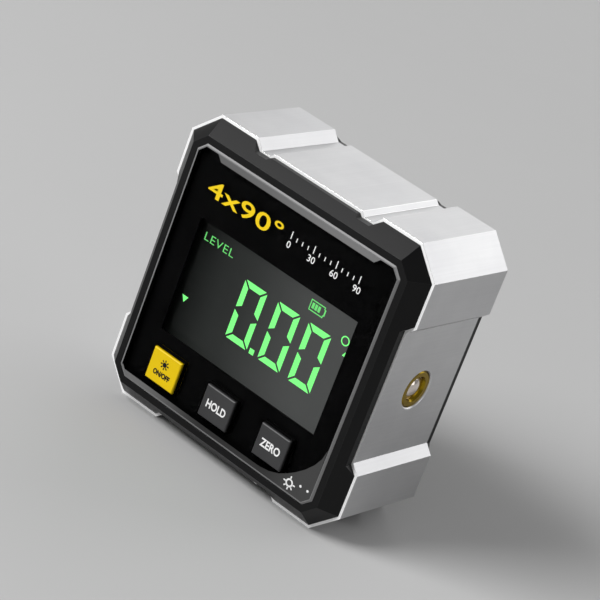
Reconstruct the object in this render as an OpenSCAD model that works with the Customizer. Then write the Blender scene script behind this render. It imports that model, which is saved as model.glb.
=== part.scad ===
// Square digital angle gauge: an aluminium frame closed by a black bezel and a black rear cover,
// with a backlit display, push buttons, a laser in the right side and a magnetic V-groove base.
// X runs along the face, Y from the face to the back, Z up. All lengths are in millimetres.

/* [Frame] */
// Width of the frame across its corner blocks
face_w = 60; // [57:0.5:75]
// Height of the frame across its corner blocks
face_h = 60; // [58:0.5:75]
// Depth of the frame from front to back
frame_depth = 23.6; // [21:0.1:32]
// Leg of the cut across each outer corner
corner_cut = 5.4; // [3:0.1:7]
// Length of a corner block along each side
block_len = 14.6; // [12:0.1:16]
// How far the sides lie back between the corner blocks
recess = 1.8; // [1:0.1:2.4]
// Width of the raised middle land on the top and the base
plateau_w = 21.6; // [14:0.1:23]
// Rise of the middle land above the recessed side
plateau_rise = 0.8; // [0.3:0.1:0.9]
// Wall of the frame behind a recessed side
wall = 2.2; // [1.8:0.1:2.8]
// Thickness of the base under the inside space
base_t = 5.5; // [5:0.1:6.5]
// Width of the V-groove in the base
groove_w = 8; // [6:0.1:9]

/* [Case screws] */
// Distance of the case screws from the outer faces
screw_in = 7.4; // [7:0.1:7.8]
// Radius of a case screw's thread
screw_r = 1; // [0.8:0.05:1.1]
// Length of a case screw's thread in the frame
screw_grip = 6; // [4:0.5:8]
// Radius of a case screw's head
head_r = 1.8; // [1.5:0.05:1.9]
// Height of a case screw's head
head_t = 1.1; // [0.8:0.05:1.2]
// Frame material left around a case screw
screw_wall = 2.2; // [1.8:0.1:2.4]
// How far a screw's head lies below the rear cover's face
head_sink = 0.2; // [0.1:0.05:0.4]
// Width of a screw's cross recess
cross_w = 0.5; // [0.3:0.05:0.7]
// Depth of a screw's cross recess
cross_depth = 0.6; // [0.3:0.05:0.7]
// Reach of the cross recess, as a share of the head's radius
cross_reach = 0.6; // [0.4:0.05:0.7]

/* [Base magnets] */
// Radius of a base magnet
magnet_r = 3; // [2:0.1:3.2]
// Thickness of a base magnet
magnet_t = 2.5; // [1.5:0.1:3]
// How far a magnet lies inside the base
magnet_sink = 0.15; // [0.1:0.05:0.4]

/* [Bezel] */
// How far the bezel stands in front of the frame
bezel_t = 3.25; // [3:0.05:4]
// How far the front edge of a cover lies inside the frame's outline
cover_taper = 3.6; // [3:0.1:4.2]
// Leg of the cut across the front corners of a cover
cover_cut = 2.7; // [1.5:0.1:3.5]
// Frame rim left showing around a cover's corner blocks and lands
rim = 0.55; // [0.2:0.05:0.8]
// Frame rim left showing beside a cover along the recessed sides
side_rim = 0.3; // [0.1:0.05:0.4]
// Thickness of the bezel's floor behind the face panel
floor_t = 1.3; // [1:0.1:1.8]
// Length of the tabs that locate a cover in the frame
tab_len = 2.5; // [1.5:0.1:3]
// Thickness of those tabs
tab_t = 1.2; // [0.8:0.1:1.4]
// Width of those tabs
tab_w = 14; // [8:1:20]

/* [Face panel] */
// Distance of the face panel's edge from the frame's outline
panel_margin = 5; // [4.8:0.1:5.2]
// Leg of the cut across the panel's corners
panel_cut = 1.8; // [1:0.1:2.2]
// Thickness of the panel
panel_t = 1.2; // [0.8:0.1:1.5]
// How far the panel stands proud of the bezel
panel_proud = 0.25; // [0.1:0.05:0.4]
// Bevel around the panel's front edge
panel_bevel = 0.3; // [0.1:0.05:0.4]
// Thickness of the black mask that bonds the panel to the bezel
mask_t = 0.1; // [0.05:0.05:0.2]

/* [Display] */
// Width of the display window
window_w = 39.2; // [30:0.2:41]
// Height of the display window
window_h = 23.8; // [18:0.2:24.4]
// Height of the window's middle above the base
window_z = 29.5; // [29:0.1:31]
// How far the display glass reaches past the window
lcd_lap = 1.2; // [0.8:0.1:1.4]
// Thickness of each of the two glass sheets
lcd_sheet_t = 1; // [0.7:0.05:1.2]
// Height of the contact ledge along the display's top edge
ledge_h = 2; // [1.5:0.1:3]
// Thickness of the light guide behind the glass
guide_t = 3; // [2.6:0.1:4]

/* [Buttons] */
// Width of a button
button_w = 7.1; // [6:0.1:8]
// Height of a button
button_h = 6.55; // [5.5:0.05:6.8]
// Spacing of the buttons
button_pitch = 14; // [13:0.1:15]
// Sideways shift of the button row from the middle of the face
button_shift = -0.95; // [-1:0.05:0]
// Height of the button row's middle above the base
button_z = 11.3; // [11.2:0.1:12]
// How far a button stands proud of the panel
button_proud = 0.4; // [0.35:0.05:1.2]
// Bevel around a button's front face
button_bevel = 0.2; // [0.1:0.05:0.3]
// Depth of the hollow across a button's front face
button_dish = 0.05; // [0.03:0.01:0.1]
// How far a button moves when it is pressed
button_travel = 0.3; // [0.2:0.05:0.6]
// Width of the retaining lip on each side of a button
button_lip = 0.6; // [0.4:0.05:0.8]
// Thickness of the retaining lip
button_lip_t = 1; // [0.6:0.05:1.1]

/* [Circuit board] */
// Thickness of the circuit board
board_t = 1.6; // [1:0.1:2]
// Radius of the bezel's posts under the board
post_r = 2; // [1.7:0.1:2.2]
// Sideways distance of the upper posts from the middle
post_x = 16; // [12:0.5:17]
// Radius of a board screw
board_screw_r = 0.8; // [0.6:0.05:1]
// Side of a push switch
switch_side = 6; // [5:0.1:7]
// Height of a push switch
switch_t = 2.5; // [2:0.1:2.8]
// Radius of a switch plunger
plunger_r = 1.75; // [1:0.05:2]
// Gap between the board's edge and the frame
board_gap = 0.5; // [0.3:0.1:0.8]
// Radius of a board screw's head
board_head_r = 1.6; // [1.2:0.05:1.8]
// Height of a board screw's head
board_head_t = 1.2; // [0.8:0.05:1.4]
// Depth of a board screw's hole in its post
pilot_len = 4; // [3:0.1:4.5]
// How far a plunger reaches into its switch
plunger_in = 1; // [0.6:0.05:1.1]
// Side of the controller chip
chip_side = 7; // [5:0.5:10]
// Height of the controller chip
chip_t = 1.4; // [0.8:0.1:2]
// Side of the tilt sensor
sensor_side = 4; // [2:0.5:6]
// Height of the tilt sensor
sensor_t = 1.2; // [0.8:0.1:2]
// Distance of the chip and the sensor from the middle of the board
chip_gap = 6; // [5.5:0.5:9]

/* [Laser] */
// Radius of the brass laser barrel
barrel_r = 3.85; // [3.4:0.05:4.2]
// Length of the laser barrel
barrel_len = 13; // [11:0.5:16]
// Radius of the opening in front of the lens
aperture_r = 2.4; // [1.8:0.05:2.45]
// Radius of the lens and of the laser diode's base
lens_r = 2.8; // [2.5:0.05:3]
// Length of the frame's sleeve around the barrel
sleeve_len = 5; // [3:0.5:8]
// Wall of that sleeve
sleeve_wall = 1.2; // [0.8:0.1:1.6]
// Bevel of the frame's edge around the barrel
countersink = 0.25; // [0.1:0.05:0.4]
// How far the barrel lies inside the recessed side
barrel_sink = 0.15; // [0.1:0.05:0.4]
// Bevel of the barrel's outer edge
barrel_bevel = 0.3; // [0.1:0.05:0.4]
// Depth of the flared mouth
mouth_depth = 0.5; // [0.4:0.05:1]
// How much wider the mouth is than the opening at its bottom
mouth_flare = 0.3; // [0.2:0.05:0.7]
// Thickness of the lip that the lens sits behind
lens_lip = 0.4; // [0.3:0.05:0.7]
// Thickness of the lens at its rim
lens_t = 1.5; // [1:0.1:2]
// Height of the lens's dome
lens_dome = 0.85; // [0.4:0.05:0.95]
// Thickness of the laser diode's base
diode_base_t = 1.5; // [1:0.1:2]
// Radius of the laser diode's cap
diode_cap_r = 1.8; // [1.4:0.05:2]
// Length of the laser diode's cap
diode_cap_len = 3.5; // [2:0.1:4]
// Thickness of the laser's driver board
driver_t = 1; // [0.8:0.1:1.6]

/* [Power] */
// Width of the battery pack
pack_w = 36; // [24:1:42]
// Height of the battery pack
pack_h = 30; // [20:1:36]
// Thickness of the battery pack
pack_t = 6; // [4:0.5:7]
// Height of the charging socket's opening across the side
socket_w = 8.9; // [8:0.1:10]
// Depth of the charging socket's opening
socket_h = 3.3; // [3:0.1:4]
// Length of the charging socket
socket_len = 7.3; // [6:0.1:9]
// Radius of the charging socket's corners
socket_r = 1.3; // [0.6:0.05:1.4]
// Wall of the charging socket's shell
socket_wall = 0.3; // [0.2:0.05:0.4]
// Thickness of the shell's back
socket_back = 0.8; // [0.4:0.1:1]
// Thickness of the tongue in the socket
socket_tongue_t = 0.7; // [0.5:0.05:0.9]
// Width of the tongue in the socket
socket_tongue_w = 6.2; // [5:0.1:6.6]
// Length of the moulded core behind the tongue
socket_core_len = 1.8; // [1:0.1:2.5]
// Frame wall left in front of the socket
socket_skin = 0.9; // [0.6:0.1:1.2]

/* [Rear cover] */
// How far the rear cover stands behind the frame
cover_t = 3.25; // [2.8:0.05:4]
// Wall of the rear cover
cover_wall = 2; // [1.6:0.1:2.4]

/* [Clearances] */
// Gap between fixed pieces, such as the panel, the tabs and the screw heads
fit = 0.1; // [0.05:0.05:0.15]
// Gap between a round piece and the bore that holds it
close_fit = 0.03; // [0.01:0.01:0.05]
// Gap around a switch plunger and in front of a button's lip
running_fit = 0.05; // [0.02:0.01:0.1]
// Gap around a button
button_gap = 0.25; // [0.15:0.05:0.3]

/* [Hidden] */
$fn = 64;

// Small overlap that keeps cuts clean, and the thin slices that a hull spans
cut = 0.5;
slice = 0.02;

// Facets of the wide, shallow round that hollows a button's face
hollow_facets = 720;

// Half sizes of the face and the inside space of the frame
half_w = face_w / 2;
half_h = face_h / 2;
space_x = half_w - recess - wall;
space_top = face_h - recess - wall;
screw_x = half_w - screw_in;
screw_z = half_h - screw_in;
corner_reach = screw_x + screw_z - screw_wall * sqrt(2);

// Depths of the layers, counted back from the frame's front face
panel_front = -(bezel_t + panel_proud);
panel_back = panel_front + panel_t;
mask_back = panel_back + mask_t;
lcd_front = mask_back + floor_t;
ledge_d = lcd_front + lcd_sheet_t;
lcd_back = ledge_d + lcd_sheet_t;
board_d = lcd_back + guide_t;
board_back = board_d + board_t;
crown_d = panel_front - button_proud;
lip_d = lcd_front + running_fit;
lip_back = lip_d + button_lip_t;
switch_d = board_d - switch_t;
cover_in = frame_depth + cover_t - cover_wall;
cover_out = frame_depth + cover_t;
frame_y = -(crown_d + cover_out) / 2;
mid_y = frame_y + frame_depth / 2;

// Size of the display glass, and the height of the upper posts
lcd_w = window_w + 2 * lcd_lap;
lcd_h = window_h + 2 * lcd_lap;
post_z = (window_z + lcd_h / 2 + space_top) / 2;

// Quarter of the frame's outline, from the top land round to the recessed right side, inset by i
function quarter(i) = let(
    x = half_w - i,
    z = half_h - i,
    block = block_len - i * sqrt(2),
    corner = corner_cut - i * (2 - sqrt(2)),
    land = plateau_w / 2 - i * (sqrt(2) - 1)
) [
    [land, z - recess + plateau_rise],
    [land + plateau_rise, z - recess],
    [x - block - recess, z - recess],
    [x - block, z],
    [x - corner, z],
    [x, z - corner],
    [x, z - block],
    [x - recess, z - block - recess]
];

// Whole outline from a quarter, mirrored over both axes
function reversed(q) = [for (k = [len(q) - 1:-1:0]) q[k]];
function all_round(q) = concat(
    q,
    [for (p = reversed(q)) [p.x, -p.y]],
    [for (p = q) -p],
    [for (p = reversed(q)) [-p.x, p.y]]
);

// Rectangle with cut corners, from its half sizes
function cut_rect(x, z, c) = all_round([[x - c, z], [x, z - c]]);

// Extrude a drawing of X and Z between two depths behind the frame's front face
module slab(front, back) {
    translate([0, frame_y + back, 0])
        rotate([90, 0, 0])
            linear_extrude(back - front) children();
}

// Extrude a drawing of Y and Z between two places along X
module bar(left, right) {
    translate([left, 0, 0])
        rotate([90, 0, 90])
            linear_extrude(right - left) children();
}

// Put children at the middle of the face
module centred() {
    translate([0, half_h]) children();
}

// Repeat children at the case screws
module at_case_screws() {
    for (sx = [-1, 1], sz = [-1, 1])
        translate([sx * screw_x, half_h + sz * screw_z]) children();
}

// Places of the board screws: two midway between the display and the top wall, two between the buttons
board_screws_at = [
    [-post_x, post_z],
    [post_x, post_z],
    [button_shift - button_pitch / 2, button_z],
    [button_shift + button_pitch / 2, button_z]
];
module at_board_screws() {
    for (p = board_screws_at)
        translate(p) children();
}

// Inside space of the frame, with corners kept full around the case screws
module space_outline(inset = 0) {
    intersection() {
        translate([-space_x + inset, base_t + inset])
            square([2 * (space_x - inset), space_top - base_t - 2 * inset]);
        centred()
            rotate(45)
                square(sqrt(2) * (corner_reach - inset * sqrt(2)), center = true);
    }
}

module panel_outline(inset = 0) {
    centred()
        polygon(cut_rect(half_w - panel_margin - inset, half_h - panel_margin - inset,
            panel_cut - inset * (2 - sqrt(2))));
}

module window_outline(grow = 0) {
    translate([0, window_z])
        square([window_w + 2 * grow, window_h + 2 * grow], center = true);
}

module button_outline(k, grow_x = 0, grow_z = 0) {
    translate([button_shift + k * button_pitch, button_z])
        square([button_w + 2 * grow_x, button_h + 2 * grow_z], center = true);
}

module all_buttons_outline(grow_x, grow_z) {
    for (k = [-1:1])
        button_outline(k, grow_x, grow_z);
}

// Four tabs just inside the frame's space, one on each side
module tab_outline() {
    intersection() {
        difference() {
            space_outline(fit);
            space_outline(fit + tab_t);
        }
        union() {
            translate([-tab_w / 2, 0]) square([tab_w, face_h]);
            translate([-half_w, half_h - tab_w / 2]) square([face_w, tab_w]);
        }
    }
}

// Outline of a cover on the frame: stepped like the frame's own, with less rim along the recessed sides
module cover_outline() {
    polygon(all_round(quarter(rim)));
    polygon(cut_rect(half_w - recess - side_rim, half_h - recess - side_rim, corner_cut));
}

// Form of a cover: its outline, cut by a sloping facet on each side and across each corner
module cover_form(height) {
    intersection() {
        linear_extrude(height) cover_outline();
        hull() {
            linear_extrude(slice)
                polygon(cut_rect(half_w - rim, half_h - rim, corner_cut - rim * (2 - sqrt(2))));
            translate([0, 0, height - slice])
                linear_extrude(slice)
                    polygon(cut_rect(half_w - cover_taper, half_h - cover_taper, cover_cut));
        }
    }
}

// Cylinder along X, from the outside of the right side inwards
module inward(depth) {
    translate([half_w - recess - depth, mid_y, half_h])
        rotate([0, -90, 0]) children();
}

module frame() {
    color("silver")
        difference() {
            union() {
                difference() {
                    slab(0, frame_depth) centred() polygon(all_round(quarter(0)));
                    slab(-cut, frame_depth + cut) space_outline();
                }
                inward(wall / 2) cylinder(r = barrel_r + sleeve_wall, h = wall / 2 + sleeve_len);
            }
            groove();
            magnet_pockets();
            slab(-cut, frame_depth + cut) at_case_screws() circle(screw_r + close_fit);
            inward(-cut) cylinder(r = barrel_r + close_fit, h = cut + wall + sleeve_len + cut);
            inward(-cut)
                cylinder(r1 = barrel_r + countersink + cut, r2 = barrel_r, h = cut + countersink);
            charging_port();
        }
}

// V-groove along the base
module groove() {
    bar(-half_w - cut, half_w + cut)
        translate([mid_y, 0])
            polygon([[-groove_w / 2 - cut, -cut], [groove_w / 2 + cut, -cut], [0, groove_w / 2]]);
}

// Middle of each foot, beside the groove
magnet_x = half_w - (block_len + corner_cut) / 2;
magnet_y = (groove_w + frame_depth) / 4;
module magnet_pockets() {
    for (sx = [-1, 1], sy = [-1, 1])
        translate([sx * magnet_x, mid_y + sy * magnet_y, -cut])
            cylinder(r = magnet_r + close_fit, h = magnet_t + magnet_sink + cut);
}

module base_magnet(sx, sy) {
    color("dimgray")
        translate([sx * magnet_x, mid_y + sy * magnet_y, magnet_sink])
            cylinder(r = magnet_r, h = magnet_t);
}

// Opening in the left side for the charging plug, with a relief that lets the socket slide in
socket_mid = frame_y + board_back + socket_h / 2;
module charging_port() {
    bar(-half_w - cut, -space_x + cut)
        translate([socket_mid, half_h])
            rounded(socket_h + 2 * fit, socket_w + 2 * fit, socket_r + fit);
    bar(-half_w + recess + socket_skin, -space_x + cut)
        translate([frame_y - cut, half_h - socket_w / 2 - 2 * fit])
            square([cut + board_back + socket_h + 2 * fit, socket_w + 4 * fit]);
}

// Rectangle with round corners
module rounded(w, h, r) {
    square([w - 2 * r, h], center = true);
    square([w, h - 2 * r], center = true);
    for (sx = [-1, 1], sz = [-1, 1])
        translate([sx * (w / 2 - r), sz * (h / 2 - r)]) circle(r);
}

module front_bezel() {
    color([0.07, 0.07, 0.075])
        difference() {
            union() {
                difference() {
                    translate([0, frame_y, half_h])
                        rotate([90, 0, 0]) cover_form(bezel_t);
                    slab(-bezel_t - cut, mask_back) panel_outline(-fit);
                    slab(lcd_front, cut) space_outline(fit + tab_t);
                }
                slab(-cut, tab_len) tab_outline();
                slab(lcd_front - cut, board_d) at_board_screws() circle(post_r);
            }
            slab(-bezel_t - cut, cut) window_outline(lcd_lap / 2);
            slab(-bezel_t - cut, cut) all_buttons_outline(button_gap, button_gap);
            slab(lcd_front, tab_len + cut) all_buttons_outline(button_lip + 2 * button_gap, button_gap);
            slab(mask_back - cut, mask_back + head_t + fit) at_case_screws() circle(head_r + fit);
            slab(mask_back - cut, cut) at_case_screws() circle(screw_r + fit);
            slab(board_d - pilot_len, board_d + cut) at_board_screws() circle(board_screw_r + close_fit);
        }
}

module face_panel() {
    color([0.02, 0.02, 0.02])
        difference() {
            hull() {
                slab(panel_front, panel_front + slice) panel_outline(panel_bevel);
                slab(panel_front + panel_bevel, panel_back) panel_outline();
            }
            slab(panel_front - cut, panel_back + cut) all_buttons_outline(button_gap, button_gap);
        }
}

module face_mask() {
    color([0.01, 0.01, 0.01])
        slab(panel_back, mask_back)
            difference() {
                panel_outline(panel_bevel);
                window_outline();
                all_buttons_outline(button_gap + fit, button_gap + fit);
            }
}

// Part of the display's outline that lies under the ledge
module below_ledge() {
    translate([-lcd_w / 2, window_z - lcd_h / 2]) square([lcd_w, lcd_h - ledge_h]);
}

module lcd_glass() {
    color([0.16, 0.18, 0.16]) {
        slab(lcd_front, ledge_d) window_outline(lcd_lap);
        slab(ledge_d - slice, lcd_back) below_ledge();
    }
}

module light_guide() {
    color("white")
        slab(lcd_back, board_d) below_ledge();
}

module contact_strip() {
    color("hotpink")
        slab(ledge_d, board_d)
            translate([-lcd_w / 2, window_z + lcd_h / 2 - ledge_h + 2 * fit])
                square([lcd_w, ledge_h - 2 * fit]);
}

module circuit_board() {
    color("darkgreen")
        slab(board_d, board_back)
            difference() {
                space_outline(board_gap);
                at_board_screws() circle(board_screw_r + fit);
            }
}

// Wide shallow round that hollows a button's front face from top to bottom
module button_hollow(k) {
    reach = button_h / 2 - button_bevel;
    hollow_r = (reach * reach + button_dish * button_dish) / (2 * button_dish);
    translate([button_shift + k * button_pitch, frame_y + crown_d + button_dish - hollow_r, button_z])
        rotate([0, 90, 0]) cylinder(r = hollow_r, h = button_w, center = true, $fn = hollow_facets);
}

module button(k, shade) {
    color(shade) {
        difference() {
            hull() {
                slab(crown_d, crown_d + slice) button_outline(k, -button_bevel, -button_bevel);
                slab(crown_d + button_bevel, panel_front) button_outline(k);
            }
            button_hollow(k);
        }
        slab(panel_front - slice, lip_d + slice) button_outline(k);
        slab(lip_d, lip_back) button_outline(k, button_gap + button_lip, 0);
    }
}

// Put a round drawing behind a button
module behind_button(k) {
    translate([button_shift + k * button_pitch, button_z]) children();
}

module plunger(k) {
    color("white")
        slab(lip_back, switch_d + plunger_in) behind_button(k) circle(plunger_r);
}

module push_switch(k) {
    color([0.15, 0.15, 0.16])
        difference() {
            slab(switch_d, board_d) behind_button(k) square(switch_side, center = true);
            slab(switch_d - cut, switch_d + plunger_in + button_travel + 2 * fit)
                behind_button(k) circle(plunger_r + running_fit);
        }
}

module controller_chip() {
    color([0.1, 0.1, 0.1])
        slab(board_back, board_back + chip_t)
            translate([-chip_gap, half_h]) square(chip_side, center = true);
}

module tilt_sensor() {
    color([0.2, 0.2, 0.2])
        slab(board_back, board_back + sensor_t)
            translate([chip_gap, half_h]) square(sensor_side, center = true);
}

// Brass tube with a flared mouth, and a lip that the lens sits behind
module laser_barrel() {
    lip_at = mouth_depth;
    lens_at = mouth_depth + lens_lip;
    bore_r = lens_r + close_fit;
    color([0.78, 0.57, 0.2])
        inward(barrel_sink)
            rotate_extrude()
                polygon([
                    [aperture_r + mouth_flare, 0],
                    [barrel_r - barrel_bevel, 0],
                    [barrel_r, barrel_bevel],
                    [barrel_r, barrel_len],
                    [bore_r, barrel_len],
                    [bore_r, lens_at],
                    [aperture_r, lens_at],
                    [aperture_r, lip_at]
                ]);
}

// Disc with a domed front that looks out of the barrel
module laser_lens() {
    dome_r = aperture_r - fit;
    ball_r = (dome_r * dome_r + lens_dome * lens_dome) / (2 * lens_dome);
    color([0.5, 0.35, 0.3])
        inward(barrel_sink + mouth_depth + lens_lip) {
            cylinder(r = lens_r, h = lens_t);
            intersection() {
                translate([0, 0, ball_r - lens_dome]) sphere(ball_r);
                translate([0, 0, -lens_dome]) cylinder(r = dome_r, h = lens_dome + lens_t / 2);
            }
        }
}

module laser_diode() {
    color("gold")
        inward(barrel_sink + barrel_len - diode_base_t) {
            cylinder(r = lens_r, h = diode_base_t);
            translate([0, 0, -diode_cap_len])
                cylinder(r = diode_cap_r, h = diode_cap_len + slice);
        }
}

module laser_driver() {
    color("darkgreen")
        inward(barrel_sink + barrel_len) cylinder(r = barrel_r, h = driver_t);
}

module battery_pack() {
    color("lightsteelblue")
        slab(cover_in - pack_t, cover_in)
            centred() square([pack_w, pack_h], center = true);
}

// Charging socket: a steel shell with a tongue on a moulded core
socket_mouth = -half_w + recess + socket_skin + fit;
module socket_shell() {
    color("gainsboro")
        translate([0, socket_mid, half_h])
            difference() {
                bar(socket_mouth, socket_mouth + socket_len) rounded(socket_h, socket_w, socket_r);
                bar(socket_mouth - cut, socket_mouth + socket_len - socket_back)
                    rounded(socket_h - 2 * socket_wall, socket_w - 2 * socket_wall, socket_r - socket_wall);
            }
}

module socket_core() {
    back = socket_mouth + socket_len - socket_back;
    inset = socket_wall + close_fit;
    color([0.12, 0.12, 0.12])
        translate([0, socket_mid, half_h]) {
            bar(back - socket_core_len, back)
                rounded(socket_h - 2 * inset, socket_w - 2 * inset, socket_r - inset);
            bar(socket_mouth + socket_back, back - slice)
                square([socket_tongue_t, socket_tongue_w], center = true);
        }
}

module rear_cover() {
    color([0.07, 0.07, 0.075])
        difference() {
            union() {
                difference() {
                    translate([0, frame_y + frame_depth, half_h])
                        mirror([0, 1, 0])
                            rotate([90, 0, 0]) cover_form(cover_t);
                    slab(frame_depth - cut, cover_in) space_outline(fit + tab_t);
                }
                slab(frame_depth - tab_len, frame_depth + cut) tab_outline();
            }
            slab(cover_out - head_t - head_sink, cover_out + cut) at_case_screws() circle(head_r + fit);
            slab(frame_depth - cut, cover_out) at_case_screws() circle(screw_r + fit);
        }
}

// Pan-head screw along Z, its head's underside at zero and a cross recess in its head
module cross_screw(thread_r, thread_len, screw_head_r, screw_head_t) {
    translate([0, 0, -thread_len]) cylinder(r = thread_r, h = thread_len + slice);
    difference() {
        cylinder(r = screw_head_r, h = screw_head_t);
        for (turn = [0, 90])
            rotate(turn)
                translate([-cross_reach * screw_head_r, -cross_w / 2, screw_head_t - cross_depth])
                    cube([2 * cross_reach * screw_head_r, cross_w, cross_depth + cut]);
    }
}

module bezel_screws() {
    seat = mask_back + head_t + fit;
    color("gray")
        for (sx = [-1, 1], sz = [-1, 1])
            translate([sx * screw_x, frame_y + seat, half_h + sz * screw_z])
                rotate([90, 0, 0]) cross_screw(screw_r, screw_grip - seat, head_r, head_t);
}

module cover_screws() {
    seat = cover_out - head_t - head_sink;
    color("gray")
        for (sx = [-1, 1], sz = [-1, 1])
            translate([sx * screw_x, frame_y + seat, half_h + sz * screw_z])
                rotate([-90, 0, 0]) cross_screw(screw_r, screw_grip + seat - frame_depth, head_r, head_t);
}

module board_screws() {
    color("gray")
        for (p = board_screws_at)
            translate([p.x, frame_y + board_back, p.y])
                rotate([-90, 0, 0])
                    cross_screw(board_screw_r, board_t + pilot_len - fit, board_head_r,
                        board_head_t);
}

frame();
front_bezel();
face_panel();
face_mask();
lcd_glass();
light_guide();
contact_strip();
circuit_board();
button(-1, "gold");  // power_button
button(0, "dimgray");  // hold_button
button(1, "dimgray");  // zero_button
push_switch(-1);  // power_switch
push_switch(0);  // hold_switch
push_switch(1);  // zero_switch
plunger(-1);  // power_plunger
plunger(0);  // hold_plunger
plunger(1);  // zero_plunger
controller_chip();
tilt_sensor();
laser_barrel();
laser_lens();
laser_diode();
laser_driver();
battery_pack();
socket_shell();
socket_core();
rear_cover();
bezel_screws();
cover_screws();
board_screws();
base_magnet(-1, -1);  // magnet_front_left
base_magnet(1, -1);  // magnet_front_right
base_magnet(-1, 1);  // magnet_rear_left
base_magnet(1, 1);  // magnet_rear_right
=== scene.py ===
import math

import bpy
from mathutils import Matrix, Vector


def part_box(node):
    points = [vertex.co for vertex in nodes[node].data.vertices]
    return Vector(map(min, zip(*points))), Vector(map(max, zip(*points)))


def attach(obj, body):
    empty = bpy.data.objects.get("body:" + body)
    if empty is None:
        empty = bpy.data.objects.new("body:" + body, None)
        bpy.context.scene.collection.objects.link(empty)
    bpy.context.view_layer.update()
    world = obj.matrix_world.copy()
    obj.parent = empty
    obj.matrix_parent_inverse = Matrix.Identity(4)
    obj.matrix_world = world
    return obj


# Looks of a square digital angle gauge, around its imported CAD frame

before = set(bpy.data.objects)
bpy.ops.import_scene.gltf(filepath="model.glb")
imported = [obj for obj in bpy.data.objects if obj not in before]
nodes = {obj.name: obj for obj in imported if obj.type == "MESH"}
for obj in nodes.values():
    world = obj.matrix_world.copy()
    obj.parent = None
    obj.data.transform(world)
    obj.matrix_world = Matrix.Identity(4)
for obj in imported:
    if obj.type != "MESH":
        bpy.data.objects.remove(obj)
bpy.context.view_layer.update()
scene = bpy.context.scene
scene.view_settings.view_transform = "Standard"

MM = 0.001
PRINT = 0.02 * MM  # thickness of a print or a lit mark
KEY_INK = 0.05 * MM  # thickness of a marking on a button
KEY_HOLLOW = 0.06 * MM  # how far behind the button's rim a marking starts
GRAIN_DEPTH = 0.02 * MM  # height of the fine grain on a finish
EDGE_ROUND = 0.1 * MM  # width of a rounded edge
CAPITAL = 0.69  # height of a capital letter, as a share of the text's size
FACING = (math.pi / 2, 0, 0)  # stands up what lies flat, to face the front
TURNED = (0.3, 0.4)  # a face counts as turned to the front or back from here
FLAT = (0.9, 0.95)  # and as flat to the front or back from here

panel_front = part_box("face_panel")[0].y
panel_middle = panel_front + (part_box("face_panel")[1].y - panel_front) / 2
display_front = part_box("lcd_glass")[0].y
key_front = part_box("power_button")[0].y


# Tools for modelling by hand

def deselect():
    """Leave edit mode and let go of everything."""
    if bpy.context.object and bpy.context.object.mode != "OBJECT":
        bpy.ops.object.mode_set(mode="OBJECT")
    bpy.ops.object.select_all(action="DESELECT")


def take(piece):
    """Make one piece the only one that the next operators act on."""
    deselect()
    piece.select_set(True)
    bpy.context.view_layer.objects.active = piece


def settle(piece, name, material, body):
    """Name a finished piece, put its place into its mesh, and let it ride on a body."""
    take(piece)
    bpy.ops.object.transform_apply(location=True, rotation=True, scale=True)
    piece.name = name
    piece.data.name = name
    piece.data.materials.clear()
    piece.data.materials.append(material)
    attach(piece, body)


def join(pieces):
    """Join marks into one piece."""
    deselect()
    for piece in pieces:
        piece.select_set(True)
    bpy.context.view_layer.objects.active = pieces[0]
    bpy.ops.object.join()
    return bpy.context.object


def outward(piece):
    """Turn every face of a closed piece to the outside."""
    take(piece)
    bpy.ops.object.mode_set(mode="EDIT")
    bpy.ops.mesh.select_all(action="SELECT")
    bpy.ops.mesh.normals_make_consistent(inside=False)
    bpy.ops.object.mode_set(mode="OBJECT")
    return piece


def thicken(plate, thick):
    """Put a flat plate's place into its mesh and draw it forward by its thickness."""
    bpy.ops.object.transform_apply(location=True, rotation=True, scale=True)
    bpy.ops.object.mode_set(mode="EDIT")
    bpy.ops.mesh.select_all(action="SELECT")
    bpy.ops.mesh.extrude_region_move(TRANSFORM_OT_translate={"value": (0, -thick, 0)})
    bpy.ops.object.mode_set(mode="OBJECT")
    return outward(plate)


def bar(left, right, low, high, y, thick=PRINT):
    """Straight mark in the face's plane, sizes in millimetres, standing thick in front of y."""
    deselect()
    middle = ((left + right) / 2 * MM, y, (low + high) / 2 * MM)
    bpy.ops.mesh.primitive_plane_add(size=MM, location=middle, rotation=FACING)
    plate = bpy.context.object
    plate.scale = (right - left, high - low, 1)
    return thicken(plate, thick)


def disc(x, z, r, y, corners, thick=PRINT):
    """Round or many-cornered mark in the face's plane."""
    deselect()
    bpy.ops.mesh.primitive_circle_add(
        vertices=corners, radius=r * MM, fill_type="NGON", location=(x * MM, y, z * MM), rotation=FACING)
    return thicken(bpy.context.object, thick)


def ring(x, z, outer, inner, y):
    """Flat ring in the face's plane: a disc, inset and opened in the middle."""
    return open_middle(disc(x, z, outer, y, 40), outer - inner)


def border(left, right, low, high, cut, width, y):
    """Line around a field with cut corners: a bar, its corners bevelled, inset and opened in the middle."""
    plate = bar(left, right, low, high, y)
    let_go(plate, "EDGE")
    for edge in plate.data.edges:
        ends = [plate.data.vertices[k] for k in edge.vertices]
        edge.select = abs(ends[0].co.y - ends[1].co.y) > PRINT / 2
        for end in ends:
            end.select = end.select or edge.select
    bpy.ops.object.mode_set(mode="EDIT")
    bpy.ops.mesh.bevel(offset=cut * MM, segments=1, affect="EDGES")
    bpy.ops.object.mode_set(mode="OBJECT")
    return open_middle(plate, width)


def open_middle(plate, width):
    """Leave only a line of a given width along the outline of a flat plate."""
    let_go(plate, "FACE")
    for face in plate.data.polygons:
        face.select = abs(face.normal.y) > FLAT[0]
    bpy.ops.object.mode_set(mode="EDIT")
    bpy.ops.mesh.inset(thickness=width * MM, use_individual=True)
    bpy.ops.mesh.bridge_edge_loops()
    bpy.ops.object.mode_set(mode="OBJECT")
    return outward(plate)


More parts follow.
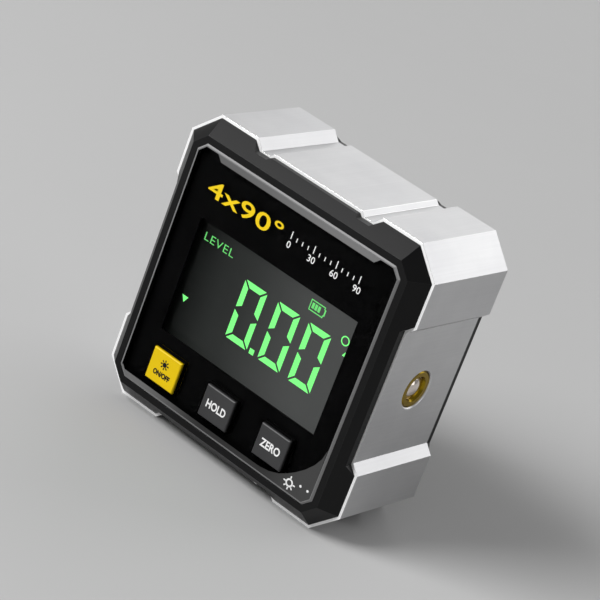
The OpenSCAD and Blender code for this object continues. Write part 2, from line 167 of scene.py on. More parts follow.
def let_go(piece, kind):
    """Take a piece with nothing in it selected, ready to select its corners, edges or faces."""
    take(piece)
    bpy.ops.object.mode_set(mode="EDIT")
    bpy.ops.mesh.select_mode(type=kind)
    bpy.ops.mesh.select_all(action="DESELECT")
    bpy.ops.object.mode_set(mode="OBJECT")


def push(piece, x, z, move):
    """Move the corners of a mark that lie at x and z (millimetres) along the face."""
    let_go(piece, "VERT")
    near = 0.001 * MM
    for corner in piece.data.vertices:
        corner.select = abs(corner.co.x - x * MM) < near and abs(corner.co.z - z * MM) < near
    bpy.ops.object.mode_set(mode="EDIT")
    bpy.ops.transform.translate(value=(move[0] * MM, 0, move[1] * MM))
    bpy.ops.object.mode_set(mode="OBJECT")


def copy_of(piece, place):
    """Copy of a mark, with its own mesh, put where a matrix says."""
    take(piece)
    bpy.ops.object.duplicate(linked=False)
    copy = bpy.context.object
    copy.matrix_world = place
    bpy.ops.object.transform_apply(location=True, rotation=True, scale=True)
    return outward(copy)


def shifted(x, z=0.0):
    """Move in the face's plane, in millimetres."""
    return Matrix.Translation((x * MM, 0, z * MM))


def flipped(axis, about):
    """Mirror in the face's plane, about a line at a place in millimetres."""
    side = Vector((1, 0, 0)) if axis == "x" else Vector((0, 0, 1))
    return Matrix.Translation(side * 2 * about * MM) @ Matrix.Scale(-1, 4, side)


def turned(x, z, degrees):
    """Turn in the face's plane about a point in millimetres."""
    middle = Vector((x * MM, 0, z * MM))
    return (Matrix.Translation(middle) @ Matrix.Rotation(math.radians(-degrees), 4, "Y")
            @ Matrix.Translation(-middle))


def outline(points, y):
    """Mark with a free outline, drawn as a flat curve through points in millimetres."""
    deselect()
    curve = bpy.data.curves.new("outline", "CURVE")
    curve.dimensions = "2D"
    curve.fill_mode = "BOTH"
    curve.extrude = PRINT / 2
    line = curve.splines.new("POLY")
    line.points.add(len(points) - 1)
    for point, (x, z) in zip(line.points, points):
        point.co = (x * MM, z * MM, 0, 1)
    line.use_cyclic_u = True
    plate = bpy.data.objects.new("outline", curve)
    scene.collection.objects.link(plate)
    take(plate)
    bpy.ops.object.convert(target="MESH")
    plate = bpy.context.object
    plate.rotation_euler = FACING
    plate.location = (0, y - PRINT / 2, 0)
    bpy.ops.object.transform_apply(location=True, rotation=True, scale=True)
    return close_seams(plate)


def close_seams(piece):
    """Merge the doubled corners that a curve or text leaves, and turn the faces outwards."""
    take(piece)
    bpy.ops.object.mode_set(mode="EDIT")
    bpy.ops.mesh.select_all(action="SELECT")
    bpy.ops.mesh.remove_doubles(threshold=0.0005 * MM)
    bpy.ops.object.mode_set(mode="OBJECT")
    return outward(piece)


def words(text, x, z, height, y, bold, spread=1.0, width=None, align="CENTER", thick=PRINT):
    """Lettering in the face's plane, with the height and boldness of a capital letter in millimetres."""
    deselect()
    bpy.ops.object.text_add()
    label = bpy.context.object
    label.data.body = text
    label.data.size = height * MM / CAPITAL
    label.data.extrude = thick / 2
    label.data.offset = bold * MM
    label.data.resolution_u = 4
    label.data.space_character = spread
    label.data.align_x = align
    label.data.align_y = "BOTTOM_BASELINE"
    bpy.ops.object.convert(target="MESH")
    label = bpy.context.object
    if width is not None:
        across = max(v.co.x for v in label.data.vertices) - min(v.co.x for v in label.data.vertices)
        label.scale.x = width * MM / across
    label.rotation_euler = FACING
    label.location = (x * MM, y - thick / 2, z * MM)
    bpy.ops.object.transform_apply(location=True, rotation=True, scale=True)
    return close_seams(label)


# Shader node groups shared by the finishes

def new_group(name, inputs, outputs):
    """Empty node group with named sockets."""
    tree = bpy.data.node_groups.new(name, "ShaderNodeTree")
    for label, kind, value in inputs:
        socket = tree.interface.new_socket(label, in_out="INPUT", socket_type=kind)
        socket.default_value = value
    for label, kind in outputs:
        tree.interface.new_socket(label, in_out="OUTPUT", socket_type=kind)
    start = tree.nodes.new("NodeGroupInput")
    end = tree.nodes.new("NodeGroupOutput")
    return tree, start, end


def add(tree, kind, **settings):
    """New node with its settings."""
    node = tree.nodes.new(kind)
    for key, value in settings.items():
        setattr(node, key, value)
    return node


def feed(tree, socket, value):
    """Give a socket a plain value, or link another node's output to it."""
    if isinstance(value, (tuple, float, int)):
        socket.default_value = value
    else:
        tree.links.new(value, socket)


def maths(tree, operation, *values):
    """Result of a sum on one or two values."""
    node = add(tree, "ShaderNodeMath", operation=operation)
    for socket, value in zip(node.inputs, values):
        feed(tree, socket, value)
    return node.outputs[0]


def blend_colours(tree, factor, a, b, kind="MIX"):
    """Colour a where the factor is 0, and b where it is 1."""
    node = add(tree, "ShaderNodeMix", data_type="RGBA", blend_type=kind)
    for k, value in ((0, factor), (6, a), (7, b)):
        feed(tree, node.inputs[k], value)
    return node.outputs[2]


def blend_values(tree, factor, a, b):
    """Value a where the factor is 0, and b where it is 1."""
    node = add(tree, "ShaderNodeMix", data_type="FLOAT")
    for k, value in ((0, factor), (2, a), (3, b)):
        feed(tree, node.inputs[k], value)
    return node.outputs[0]


def part_place(tree):
    """X, Y and Z of the point on the part, in metres."""
    place = add(tree, "ShaderNodeTexCoord")
    split = add(tree, "ShaderNodeSeparateXYZ")
    tree.links.new(place.outputs["Object"], split.inputs["Vector"])
    return split.outputs


def ramp(tree, value, low, high, interpolation="SMOOTHSTEP"):
    """0 below low, 1 above high, and a slope between them."""
    node = add(tree, "ShaderNodeMapRange", interpolation_type=interpolation)
    node.inputs["From Min"].default_value = low
    node.inputs["From Max"].default_value = high
    tree.links.new(value, node.inputs["Value"])
    return node.outputs[0]


def facing_mask():
    """How far a face is turned to the front or the back: 1 on the front, 0 on the sides."""
    tree, start, end = new_group(
        "facing_mask",
        [("From", "NodeSocketFloat", TURNED[0]), ("To", "NodeSocketFloat", TURNED[1])],
        [("Mask", "NodeSocketFloat")],
    )
    place = add(tree, "ShaderNodeTexCoord")
    split = add(tree, "ShaderNodeSeparateXYZ")
    tree.links.new(place.outputs["Normal"], split.inputs["Vector"])
    mask = add(tree, "ShaderNodeMapRange")
    tree.links.new(maths(tree, "ABSOLUTE", split.outputs["Y"]), mask.inputs["Value"])
    tree.links.new(start.outputs["From"], mask.inputs["From Min"])
    tree.links.new(start.outputs["To"], mask.inputs["From Max"])
    tree.links.new(mask.outputs[0], end.inputs["Mask"])
    return tree


def moulded_grain():
    """Cloudy colour and roughness with a fine height grain, for any moulded, cast or blasted finish."""
    tree, start, end = new_group(
        "moulded_grain",
        [
            ("Dark", "NodeSocketColor", (0.1, 0.1, 0.1, 1)),
            ("Light", "NodeSocketColor", (0.2, 0.2, 0.2, 1)),
            ("Rough Low", "NodeSocketFloat", 0.4),
            ("Rough High", "NodeSocketFloat", 0.5),
            ("Cloud Scale", "NodeSocketFloat", 120.0),
            ("Grain Scale", "NodeSocketFloat", 5000.0),
        ],
        [("Color", "NodeSocketColor"), ("Roughness", "NodeSocketFloat"), ("Height", "NodeSocketFloat")],
    )
    place = add(tree, "ShaderNodeTexCoord")
    cloud = add(tree, "ShaderNodeTexNoise")
    cloud.inputs["Detail"].default_value = 4.0
    grain = add(tree, "ShaderNodeTexNoise")
    grain.inputs["Detail"].default_value = 2.0
    for noise, scale in ((cloud, "Cloud Scale"), (grain, "Grain Scale")):
        tree.links.new(place.outputs["Object"], noise.inputs["Vector"])
        tree.links.new(start.outputs[scale], noise.inputs["Scale"])
    mask = add(tree, "ShaderNodeMapRange")
    mask.inputs["From Min"].default_value = 0.3
    mask.inputs["From Max"].default_value = 0.7
    tree.links.new(cloud.outputs["Fac"], mask.inputs["Value"])
    colour = blend_colours(tree, mask.outputs[0], start.outputs["Dark"], start.outputs["Light"])
    rough = add(tree, "ShaderNodeMapRange")
    tree.links.new(grain.outputs["Fac"], rough.inputs["Value"])
    tree.links.new(start.outputs["Rough Low"], rough.inputs["To Min"])
    tree.links.new(start.outputs["Rough High"], rough.inputs["To Max"])
    tree.links.new(colour, end.inputs["Color"])
    tree.links.new(rough.outputs[0], end.inputs["Roughness"])
    tree.links.new(grain.outputs["Fac"], end.inputs["Height"])
    return tree


def turned_rings():
    """Fine rings around the X axis of the vector, as a lathe leaves them."""
    tree, start, end = new_group(
        "turned_rings",
        [("Vector", "NodeSocketVector", (0, 0, 0)), ("Scale", "NodeSocketFloat", 900.0)],
        [("Height", "NodeSocketFloat")],
    )
    wave = add(tree, "ShaderNodeTexWave", wave_type="RINGS", rings_direction="X", wave_profile="SIN")
    wave.inputs["Distortion"].default_value = 0.6
    wave.inputs["Detail"].default_value = 2.0
    tree.links.new(start.outputs["Vector"], wave.inputs["Vector"])
    tree.links.new(start.outputs["Scale"], wave.inputs["Scale"])
    tree.links.new(wave.outputs["Fac"], end.inputs["Height"])
    return tree


GRAIN = moulded_grain()
RINGS = turned_rings()
FACING_MASK = facing_mask()


def finish(name, dark, light, rough, metallic=0.0, cloud=120.0, grain=5000.0, bump=0.08, **sockets):
    """Principled material with the shared grain, and plain values for its other sockets."""
    material = bpy.data.materials.new(name)
    material.use_nodes = True
    tree = material.node_tree
    shader = tree.nodes["Principled BSDF"]
    group = add(tree, "ShaderNodeGroup", node_tree=GRAIN)
    group.inputs["Dark"].default_value = (*dark, 1)
    group.inputs["Light"].default_value = (*light, 1)
    group.inputs["Rough Low"].default_value = rough[0]
    group.inputs["Rough High"].default_value = rough[1]
    group.inputs["Cloud Scale"].default_value = cloud
    group.inputs["Grain Scale"].default_value = grain
    relief = add(tree, "ShaderNodeBump")
    relief.inputs["Strength"].default_value = bump
    relief.inputs["Distance"].default_value = GRAIN_DEPTH
    tree.links.new(group.outputs["Color"], shader.inputs["Base Color"])
    tree.links.new(group.outputs["Roughness"], shader.inputs["Roughness"])
    tree.links.new(group.outputs["Height"], relief.inputs["Height"])
    tree.links.new(relief.outputs["Normal"], shader.inputs["Normal"])
    shader.inputs["Metallic"].default_value = metallic
    for label, value in sockets.items():
        shader.inputs[label.replace("_", " ")].default_value = value
    return material


def turn_finish(material, centre, scale=1800.0, strength=0.15):
    """Lay turned rings over a finish, around an axis along X through a point."""
    tree = material.node_tree
    relief = next(n for n in tree.nodes if n.type == "BUMP")
    place = add(tree, "ShaderNodeTexCoord")
    move = add(tree, "ShaderNodeMapping")
    move.inputs["Location"].default_value = tuple(-c for c in centre)
    rings = add(tree, "ShaderNodeGroup", node_tree=RINGS)
    rings.inputs["Scale"].default_value = scale
    ridge = add(tree, "ShaderNodeBump")
    ridge.inputs["Strength"].default_value = strength
    ridge.inputs["Distance"].default_value = 0.03 * MM
    tree.links.new(place.outputs["Object"], move.inputs["Vector"])
    tree.links.new(move.outputs["Vector"], rings.inputs["Vector"])
    tree.links.new(rings.outputs["Height"], ridge.inputs["Height"])
    tree.links.new(ridge.outputs["Normal"], relief.inputs["Normal"])


def facing(material, limits):
    """Mask of the faces that are turned to the front or back, by the size of the normal along Y."""
    group = add(material.node_tree, "ShaderNodeGroup", node_tree=FACING_MASK)
    group.inputs["From"].default_value, group.inputs["To"].default_value = limits
    return group.outputs["Mask"]


def overlay(material, mask, colour=None, rough=None, metallic=None):
    """Lay a colour, a roughness and a metal share over a finish where a mask says."""
    tree = material.node_tree
    shader = tree.nodes["Principled BSDF"]
    if colour is not None:
        socket = shader.inputs["Base Color"]
        tree.links.new(blend_colours(tree, mask, socket.links[0].from_socket, (*colour, 1)), socket)
    if rough is not None:
        socket = shader.inputs["Roughness"]
        tree.links.new(blend_values(tree, mask, socket.links[0].from_socket, rough), socket)
    if metallic is not None:
        socket = shader.inputs["Metallic"]
        tree.links.new(blend_values(tree, mask, socket.default_value, metallic), socket)


def fade_across(material, stops):
    """Colour a print by its place along X: pairs of a place in millimetres and a grey."""
    tree = material.node_tree
    socket = tree.nodes["Principled BSDF"].inputs["Base Color"]
    across = part_place(tree)["X"]
    grain = socket.links[0].from_socket
    shade = (stops[0][1],) * 3 + (1,)
    for (left, _), (right, grey_level) in zip(stops, stops[1:]):
        shade = blend_colours(tree, ramp(tree, across, left * MM, right * MM), shade, (grey_level,) * 3 + (1,))
    tree.links.new(blend_colours(tree, 1.0, shade, grain, "MULTIPLY"), socket)
    return material


def drawn_aluminium():
    """Extruded and blasted aluminium: faint lines along the depth, and a near-white painted highlight on the front
    and back rims.
    """
    material = finish("drawn_aluminium", (0.57, 0.57, 0.58), (0.63, 0.63, 0.635), (0.35, 0.43), 1.0, cloud=90,
                      grain=4200, bump=0.1)
    tree = material.node_tree
    shader = tree.nodes["Principled BSDF"]
    place = add(tree, "ShaderNodeTexCoord")
    stretch = add(tree, "ShaderNodeMapping")
    stretch.inputs["Scale"].default_value = (1, 0.012, 1)
    lines = add(tree, "ShaderNodeTexNoise")
    lines.inputs["Scale"].default_value = 2600.0
    lines.inputs["Detail"].default_value = 3.0
    tree.links.new(place.outputs["Object"], stretch.inputs["Vector"])
    tree.links.new(stretch.outputs["Vector"], lines.inputs["Vector"])
    streak = ramp(tree, lines.outputs["Fac"], 0.35, 0.65, "LINEAR")
    below = shader.inputs["Base Color"].links[0].from_socket
    darker = blend_colours(tree, 0.09, below, (0.38, 0.38, 0.39, 1))
    tree.links.new(blend_colours(tree, streak, darker, below), shader.inputs["Base Color"])
    # Painted highlight: the front and back rims are laid over in near white and barely metallic, standing for the
    # light they catch.
    low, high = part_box("frame")
    depth = maths(tree, "ABSOLUTE", maths(tree, "SUBTRACT", part_place(tree)["Y"], (low.y + high.y) / 2))
    outer = maths(tree, "GREATER_THAN", depth, (high.y - low.y) / 2 - 0.2 * MM)
    rim = maths(tree, "MULTIPLY", facing(material, TURNED), outer)
    overlay(material, rim, (0.97, 0.97, 0.97), 0.4, 0.05)
    return material


def clear_panel():
    """Clear panel over the black mask: see-through from front to back, with pale cut edges."""
    material = finish("clear_panel", (0.002, 0.002, 0.0021), (0.003, 0.003, 0.0031), (0.03, 0.05), bump=0.01,
                      Specular_IOR_Level=0.3)
    tree = material.node_tree
    place = part_place(tree)
    flat = facing(material, FLAT)
    edge = maths(tree, "SUBTRACT", facing(material, TURNED), flat)
    overlay(material, edge, (0.26, 0.26, 0.262), 0.45)
    front = maths(tree, "LESS_THAN", place["Y"], panel_middle)
    slant = ramp(tree, add(tree, "ShaderNodeLayerWeight").outputs["Facing"], 0.5, 1.0)
    gloss = maths(tree, "MULTIPLY", front, slant)
    body = blend_values(tree, flat, 1.0, gloss)
    tree.links.new(body, tree.nodes["Principled BSDF"].inputs["Alpha"])
    return material


def screw_steel():
    """Plated screw, with painted shade down in the cross of its head: dark, dull metal there."""
    material = finish("cover_screw_steel", (0.38, 0.38, 0.385), (0.5, 0.5, 0.5), (0.24, 0.34), 1.0, cloud=300)
    tree = material.node_tree
    head_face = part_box("cover_screws")[1].y
    # Painted shade: the cross recess below the head's face is darkened and dulled.
    cross_shade_mask = maths(tree, "LESS_THAN", part_place(tree)["Y"], head_face - 0.1 * MM)
    overlay(material, cross_shade_mask, (0.05, 0.05, 0.052), 0.55)
    return material


def display_finish():
    """Dark display filter, with a painted glow that grows towards the right end, standing in for reflected light.
    """
    material = finish("display_filter", (0.003, 0.0035, 0.0032), (0.005, 0.006, 0.0055), (0.1, 0.16), bump=0.02,
                      Specular_IOR_Level=0.06)
    tree = material.node_tree
    shader = tree.nodes["Principled BSDF"]
    across = part_place(tree)["X"]
    # Painted glow: emission rises from none at the left end to its most at the right, in place of the reflection
    # across the display.
    near = blend_colours(tree, ramp(tree, across, -20.5 * MM, -9 * MM), (0, 0, 0, 1), (0.019, 0.0205, 0.0196, 1))
    painted_glow = blend_colours(tree, ramp(tree, across, -12 * MM, 14 * MM), near, (0.064, 0.066, 0.065, 1))
    tree.links.new(painted_glow, shader.inputs["Emission Color"])
    shader.inputs["Emission Strength"].default_value = 1.0
    return material


def glow(name, colour):
    """Lit display mark: a dark body that shines, slightly uneven."""
    material = finish(name, tuple(0.3 * c for c in colour), tuple(0.35 * c for c in colour), (0.3, 0.4))
    tree = material.node_tree
    shader = tree.nodes["Principled BSDF"]
    group = next(n for n in tree.nodes if n.type == "GROUP")
    mask = add(tree, "ShaderNodeMapRange")
    tree.links.new(group.outputs["Height"], mask.inputs["Value"])
    shade = blend_colours(tree, mask.outputs[0], (*(0.94 * c for c in colour), 1), (*colour, 1))
    tree.links.new(shade, shader.inputs["Emission Color"])
    shader.inputs["Emission Strength"].default_value = 1.0
    return material


def ink(name, dark, light, rough):
    """Printed ink, with little gloss."""
    return finish(name, dark, light, rough, Specular_IOR_Level=0.2)


barrel_low, barrel_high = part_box("laser_barrel")
barrel_axis = (0.0, (barrel_low.y + barrel_high.y) / 2, (barrel_low.z + barrel_high.z) / 2)

aluminium = drawn_aluminium()
cut_edge = finish("bright_cut_edge", (0.88, 0.88, 0.88), (0.95, 0.95, 0.95), (0.18, 0.26), 1.0, cloud=300)
black = finish("satin_black", (0.0035, 0.0035, 0.0037), (0.0055, 0.0055, 0.0058), (0.3, 0.38), cloud=60,
               grain=5200, bump=0.12, Specular_IOR_Level=0.18)
rubbed_edge = finish("rubbed_black_edge", (0.016, 0.016, 0.0165), (0.03, 0.03, 0.031), (0.26, 0.36), cloud=260,
                     grain=5200, Specular_IOR_Level=0.4)
mask_black = finish("mask_print", (0.0012, 0.0012, 0.0013), (0.002, 0.002, 0.0021), (0.28, 0.36), bump=0.01,
                    Specular_IOR_Level=0.03)
yellow = finish("yellow_key", (0.77, 0.53, 0.002), (0.81, 0.56, 0.003), (0.36, 0.44), grain=4000, bump=0.05,
                Specular_IOR_Level=0.15)
grey = finish("grey_key", (0.033, 0.033, 0.0345), (0.042, 0.042, 0.0435), (0.38, 0.48), grain=4000, bump=0.08,
              Specular_IOR_Level=0.35)
white = finish("white_moulding", (0.74, 0.74, 0.72), (0.8, 0.8, 0.79), (0.4, 0.5))
dark_moulding = finish("dark_moulding", (0.015, 0.015, 0.015), (0.03, 0.03, 0.03), (0.45, 0.6))
chip = finish("chip_resin", (0.02, 0.02, 0.021), (0.035, 0.035, 0.036), (0.5, 0.65), grain=9000, bump=0.2)
board = finish("board_lacquer", (0.01, 0.11, 0.035), (0.025, 0.2, 0.06), (0.25, 0.35), cloud=420)
strip = finish("contact_rubber", (0.03, 0.03, 0.03), (0.62, 0.34, 0.35), (0.6, 0.7), cloud=1500)
wrap = finish("pack_foil", (0.33, 0.35, 0.37), (0.47, 0.49, 0.52), (0.25, 0.4), cloud=200, grain=700, bump=0.4)
brass = finish("turned_brass", (0.25, 0.165, 0.008), (0.33, 0.22, 0.012), (0.2, 0.3), 1.0)
turn_finish(brass, barrel_axis)
steel = finish("plated_steel", (0.42, 0.42, 0.42), (0.55, 0.55, 0.55), (0.22, 0.34), 1.0, cloud=300)
nickel = finish("magnet_nickel", (0.5, 0.49, 0.47), (0.6, 0.59, 0.57), (0.18, 0.28), 1.0, cloud=250)
lens = finish("coated_lens", (0.74, 0.66, 0.6), (0.8, 0.73, 0.68), (0.03, 0.06), 0.85, bump=0.0)
panel = clear_panel()
display = display_finish()
green = glow("display_green", (0.18, 0.92, 0.2))
dim_green = glow("display_dim_green", (0.12, 0.6, 0.14))
# Grey prints: the grey print is real, but its lighter and darker fade along X is painted sheen and shade.
strip_print_and_sheen = fade_across(
    ink("grey_strip_print", (0.93, 0.93, 0.93), (1, 1, 1), (0.32, 0.4)),
    [(-20, 0.125), (20, 0.19)])
sweep_print_and_sheen = fade_across(
    ink("grey_sweep_print", (0.93, 0.93, 0.93), (1, 1, 1), (0.32, 0.4)),
    [(-22, 0.155), (-2, 0.026), (12, 0.03), (21, 0.056)])
line_print = ink("grey_line_print", (0.18, 0.18, 0.182), (0.2, 0.2, 0.202), (0.32, 0.4))
white_print = ink("white_print", (0.86, 0.86, 0.86), (0.92, 0.92, 0.92), (0.35, 0.45))
yellow_print = ink("yellow_print", (0.86, 0.6, 0.006), (0.92, 0.65, 0.01), (0.35, 0.45))
black_print = ink("black_print", (0.004, 0.004, 0.004), (0.007, 0.007, 0.007), (0.4, 0.5))

FINISHES = {
    "frame": aluminium, "front_bezel": black, "rear_cover": black, "face_panel": panel, "face_mask": mask_black,
    "lcd_glass": display, "light_guide": white, "contact_strip": strip, "circuit_board": board,
    "power_button": yellow, "hold_button": grey, "zero_button": grey, "power_switch": dark_moulding,
    "hold_switch": dark_moulding, "zero_switch": dark_moulding, "power_plunger": white, "hold_plunger": white,
    "zero_plunger": white, "controller_chip": chip, "tilt_sensor": chip, "laser_barrel": brass,
    "laser_lens": lens, "laser_diode": brass, "laser_driver": board, "battery_pack": wrap, "socket_shell": steel,
    "socket_core": dark_moulding, "bezel_screws": steel, "cover_screws": screw_steel(), "board_screws": steel,
    "magnet_front_left": nickel, "magnet_front_right": nickel, "magnet_rear_left": nickel,
    "magnet_rear_right": nickel,
}
for name, material in FINISHES.items():
    nodes[name].data.materials.clear()
    nodes[name].data.materials.append(material)

# Small rounded edges on the pieces that are seen, with a finish of their own on the frame and the covers
EDGES = {
    "frame": cut_edge, "front_bezel": rubbed_edge, "rear_cover": rubbed_edge,
    "power_button": None, "hold_button": None, "zero_button": None,
}
for name, edge_finish in EDGES.items():
    weld = nodes[name].modifiers.new("join_triangles", "WELD")
    weld.merge_threshold = 0.001 * MM
    edge = nodes[name].modifiers.new("soft_edges", "BEVEL")
    edge.width = EDGE_ROUND
    edge.segments = 2
    edge.limit_method = "ANGLE"
    edge.angle_limit = math.radians(20)
    edge.use_clamp_overlap = True
    edge.harden_normals = False
    flat = nodes[name].modifiers.new("flat_facets", "WEIGHTED_NORMAL")
    flat.weight = 90
    if edge_finish is not None:
        nodes[name].data.materials.append(edge_finish)
        edge.material = 1


# Display marks, on the front of the display glass, placed in millimetres

def show(marks, name, material):
    """Settle lit marks on the display."""
    settle(marks, name, material, "gauge")


def digit_zero(left, low):
    """Zero on a seven-segment display: every bar but the middle one, with mitred ends."""
    wide, tall, stroke, gap, notch = 5.55, 12.2, 1.2, 0.28, 0.75
    top = bar(left + gap, left + wide - gap, low + tall - stroke, low + tall, display_front)
    push(top, left + gap, low + tall - stroke, (stroke, 0))
    push(top, left + wide - gap, low + tall - stroke, (-stroke, 0))
    foot = low + tall / 2 + gap
    upper = bar(left, left + stroke, foot, low + tall - gap, display_front)
    push(upper, left + stroke, low + tall - gap, (0, -stroke))
    push(upper, left + stroke, foot, (0, notch))
    half = join([top, upper, copy_of(upper, flipped("x", left + wide / 2))])
    return join([half, copy_of(half, flipped("z", low + tall / 2))])


DIGIT_LEFT, DIGIT_FOOT = -6.6, 23.2
DIGIT_STEPS = (8.3, 15.95)
first = digit_zero(DIGIT_LEFT, DIGIT_FOOT)
dot = bar(-0.45, 0.65, 23.1, 24.2, display_front)
digits = [first] + [copy_of(first, shifted(step)) for step in DIGIT_STEPS] + [dot]
show(join(digits), "display_digits", green)
show(ring(17.85, 36.25, 0.95, 0.72, display_front), "display_degree", green)
show(words("LEVEL", -18.6, 37.3, 1.62, display_front, bold=-0.02, spread=1.08, width=7.4, align="LEFT"),
     "display_level", dim_green)

# Battery sign: two rails, the walls and the nose between them, and three bars of charge
CELL_TALL, CHARGE_STEP = 2.0, 0.72
CELL_WALLS = [
    (8.15, 8.35, 37.6, 39.4), (11.4, 11.6, 37.6, 37.95), (11.4, 11.6, 39.05, 39.4), (11.6, 11.9, 37.85, 39.15),
]
rail = bar(8.15, 11.6, 39.4, 39.6, display_front)
charge = bar(8.65, 9.2, 37.95, 39.1, display_front)
cell = [rail, copy_of(rail, shifted(0, -CELL_TALL))] + [bar(*wall, display_front) for wall in CELL_WALLS]
cell += [charge] + [copy_of(charge, shifted(CHARGE_STEP * k)) for k in (1, 2)]
show(join(cell), "display_battery", dim_green)

# Pointers: one that points up at the right, and its twin upside down at the left
POINTER_X, POINTER_Z = 19.0, 33.95
pointer = disc(POINTER_X, POINTER_Z, 0.88, display_front, 3)
twin = copy_of(pointer, shifted(-36.9, -9.0) @ turned(POINTER_X, POINTER_Z, 180))
show(join([pointer, twin]), "display_pointers", green)


# Printing on the face panel, placed in millimetres

def stamp(marks, name, material):
    """Settle a print on the face panel."""
    settle(marks, name, material, "gauge")


BORDER_HALF, BORDER_LOW, BORDER_HIGH = 24.68, 5.32, 54.68
BORDER_CUT, BORDER_LINE = 1.62, 0.18
stamp(border(-BORDER_HALF, BORDER_HALF, BORDER_LOW, BORDER_HIGH, BORDER_CUT, BORDER_LINE, panel_front),
      "print_border", line_print)
TOP_STRIP = [(-20.0, 54.5), (20.0, 54.5), (18.87, 53.37), (-18.87, 53.37)]
stamp(outline(TOP_STRIP, panel_front), "print_top_strip", strip_print_and_sheen)
FOOT = [(-22.98, 5.5), (22.98, 5.5), (24.5, 7.02)]
SWEEP = [
    (24.35, 17.4), (23.9, 15.3), (22.9, 13.4), (21.4, 11.5), (19.6, 9.8), (18.1, 8.65), (16.5, 7.65),
    (14.4, 6.85), (12.2, 6.5), (9.9, 6.45),
]
CORNER = [(-23.5, 6.45), (-24.2, 7.15), (-24.5, 7.1), (-24.5, 7.02)]
stamp(outline(FOOT + SWEEP + CORNER, panel_front), "print_lower_sweep", sweep_print_and_sheen)
stamp(words("4x90°", -19.6, 46.6, 3.2, panel_front, bold=0.05, spread=1.05, width=18.4, align="LEFT"),
      "print_range", yellow_print)

# Scale from 0 to 90: a long tick with a number after every third short one
SCALE_LEFT, SCALE_STEP, SCALE_FOOT, NUMBER_FOOT = 1.0, 1.38, 48.3, 46.5
TICK_HALF, LONG_TICK, SHORT_TICK, TICKS_APART = 0.1, 1.5, 0.8, 4
long_tick, short_tick = (
    bar(SCALE_LEFT - TICK_HALF, SCALE_LEFT + TICK_HALF, SCALE_FOOT, SCALE_FOOT + tall, panel_front)
    for tall in (LONG_TICK, SHORT_TICK))
scale = [long_tick]
for k in range(1, 13):
    scale.append(copy_of(short_tick if k % TICKS_APART else long_tick, shifted(SCALE_STEP * k)))
for k, value in enumerate(("0", "30", "60", "90")):
    number_x = SCALE_LEFT + TICKS_APART * SCALE_STEP * k
    scale.append(words(value, number_x, NUMBER_FOOT, 1.3, panel_front, bold=0.008))
bpy.data.objects.remove(short_tick)
stamp(join(scale), "print_scale", white_print)

# Beam mark on the sweep: a ring with rays, and two spots beside it
BEAM_X, BEAM_Z = 19.3, 7.35
beam_back = panel_front - PRINT
ray = bar(BEAM_X + 0.75, BEAM_X + 1.4, BEAM_Z - 0.13, BEAM_Z + 0.13, beam_back)
beam = [ring(BEAM_X, BEAM_Z, 0.85, 0.52, beam_back), ray]
for angle in (90, 180, 225, 270, 315):
    beam.append(copy_of(ray, turned(BEAM_X, BEAM_Z, angle)))
spot = disc(21.77, 8.13, 0.26, beam_back, 16)
beam += [spot, copy_of(spot, shifted(1.76))]
stamp(join(beam), "print_beam_mark", white_print)


# Markings on the buttons, in the hollow of their faces

def key_middle(key):
    """Middle of a button's face, in millimetres."""
    low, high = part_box(key + "_button")
    return (low.x + high.x) / 2 / MM, (low.z + high.z) / 2 / MM


ink_back = key_front + KEY_HOLLOW
power_x, power_z = key_middle("power")
sun_z = power_z + 1.05
ray = bar(power_x + 0.6, power_x + 1.02, sun_z - 0.12, sun_z + 0.12, ink_back, KEY_INK)
sun = [disc(power_x, sun_z, 0.49, ink_back, 24, KEY_INK), ray]
for k in range(1, 8):
    sun.append(copy_of(ray, turned(power_x, sun_z, 45 * k)))
sun.append(words("ON/OFF", power_x, power_z - 1.6, 0.98, ink_back, bold=0.065, width=4.2, thick=KEY_INK))
settle(join(sun), "power_marks", black_print, "power_key")
for key in ("hold", "zero"):
    x, z = key_middle(key)
    label = words(key.upper(), x, z - 0.88, 1.56, ink_back, bold=0.06, width=4.8, thick=KEY_INK)
    settle(label, key + "_marks", white_print, key + "_key")


# Floor, light and camera

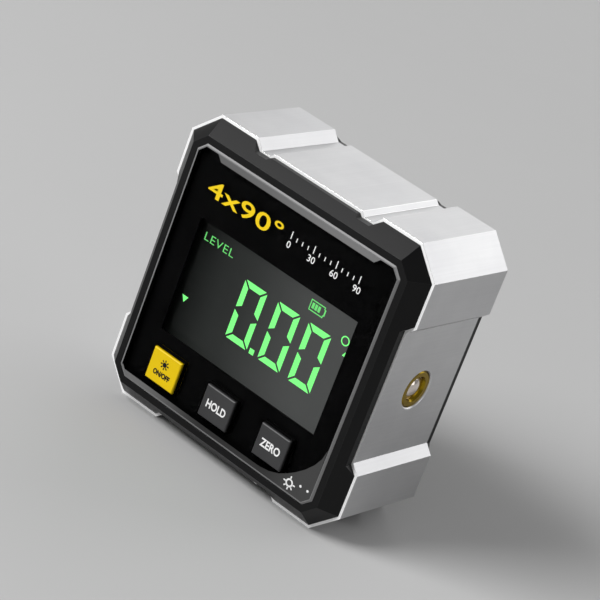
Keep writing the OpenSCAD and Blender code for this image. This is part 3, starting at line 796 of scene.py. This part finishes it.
deselect()
bpy.ops.mesh.primitive_plane_add(size=6.0)
floor = bpy.context.object
floor.name = "studio_floor"
floor.data.materials.append(
    finish("pale_floor", (0.48, 0.48, 0.48), (0.5, 0.5, 0.5), (0.8, 0.9), cloud=3, grain=60, bump=0.0))

world = bpy.data.worlds.new("studio")
scene.world = world
world.use_nodes = True
surround = world.node_tree.nodes["Background"].inputs
surround["Color"].default_value = (1, 1, 1, 1)
surround["Strength"].default_value = 0.25


def soft_light(name, place, size, power, aim=(0, 0, 0.03)):
    """Softbox that looks at the middle of the gauge: its place and size in metres, its power in watts."""
    lamp = bpy.data.lights.new(name, "AREA")
    lamp.shape = "RECTANGLE"
    lamp.size, lamp.size_y = size
    lamp.energy = power
    holder = bpy.data.objects.new(name, lamp)
    scene.collection.objects.link(holder)
    holder.location = place
    holder.rotation_euler = (Vector(aim) - Vector(place)).to_track_quat("-Z", "Y").to_euler()


soft_light("key_softbox", (-0.55, -0.75, 0.85), (0.6, 0.6), 16.0)
soft_light("back_left_softbox", (-0.24, 1.0, 0.44), (0.9, 0.7), 2.4)
soft_light("back_right_softbox", (0.44, 0.91, 0.55), (0.6, 0.6), 2.0)
soft_light("right_softbox", (0.9, 0.2, 0.22), (0.6, 0.4), 1.0)

# Camera at the photo's angle: its place from the frame's front, the way from the gauge to it, and its lean
CAMERA_X, CAMERA_Y, CAMERA_Z = 0.239274, -0.384280, 0.222172
CAMERA_BACK = (0.48110, -0.79019, 0.37966)
CAMERA_LEAN = 21.019
camera = bpy.data.objects.new("photo_camera", bpy.data.cameras.new("photo_camera"))
scene.collection.objects.link(camera)
camera.data.sensor_width = 36.0
camera.data.lens = 160.61
camera.data.clip_start = 0.01
back = Vector(CAMERA_BACK).normalized()
level = Vector((0, 0, 1)).cross(back).normalized()
lean = Matrix.Rotation(math.radians(CAMERA_LEAN), 4, back)
right = (lean @ level).normalized()
up = back.cross(right)
place = Vector((CAMERA_X, CAMERA_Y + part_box("frame")[0].y, CAMERA_Z))
camera.matrix_world = Matrix((
    (right.x, up.x, back.x, place.x),
    (right.y, up.y, back.y, place.y),
    (right.z, up.z, back.z, place.z),
    (0, 0, 0, 1),
))
scene.camera = camera
